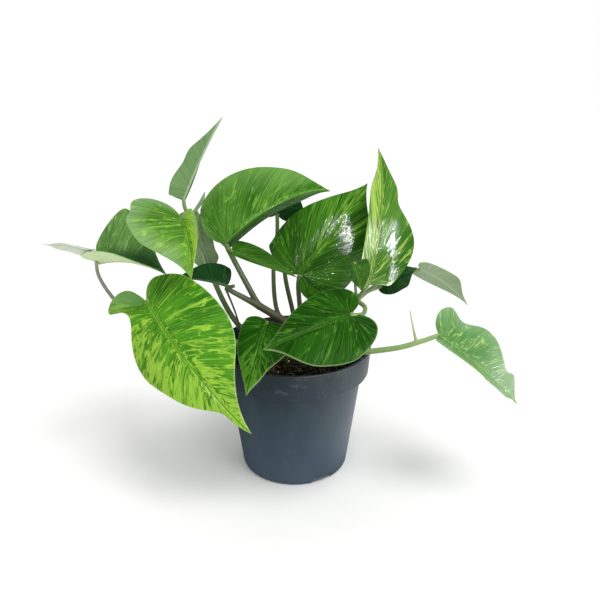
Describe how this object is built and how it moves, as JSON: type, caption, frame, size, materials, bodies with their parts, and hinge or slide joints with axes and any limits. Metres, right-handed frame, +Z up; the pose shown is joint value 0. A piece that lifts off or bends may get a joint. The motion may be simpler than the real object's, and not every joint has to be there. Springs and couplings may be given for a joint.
{
  "type": "potted pothos",
  "caption": "Young trailing pothos with marbled heart-shaped leaves, rooted in soil in a tapered plastic nursery pot that stands on its base.",
  "frame": {"origin": "centre of the pot's base, on the surface it stands on", "axes": "+Z up along the pot's axis, -Y towards the front, +X to the right seen from the front"},
  "size_m": [0.3536, 0.1575, 0.2731],
  "materials": {
    "pot": "satin",
    "soil": "rough, crumbly",
    "stem": "smooth",
    "leaf": "waxy"
  },
  "bodies": {
    "root": {"pot": "pot", "soil": "soil", "stem_centre": "stem", "stem_left": "stem", "stem_right": "stem", "stem_low_right": "stem", "stem_far_left": "stem", "stem_front_left": "stem", "stem_front_low": "stem", "leaf_front_left": "leaf", "leaf_front": "leaf", "leaf_front_low": "leaf", "leaf_middle": "leaf", "leaf_small_right": "leaf", "leaf_tall_right": "leaf", "leaf_top": "leaf", "leaf_behind_top": "leaf", "leaf_back": "leaf", "leaf_inner_middle": "leaf", "leaf_inner_left": "leaf", "leaf_left": "leaf", "leaf_tall_left": "leaf", "leaf_behind_left": "leaf", "leaf_far_left": "leaf", "leaf_far_left_tip": "leaf", "leaf_right": "leaf", "leaf_far_right": "leaf", "leaf_low_right": "leaf"}
  },
  "joints": []
}
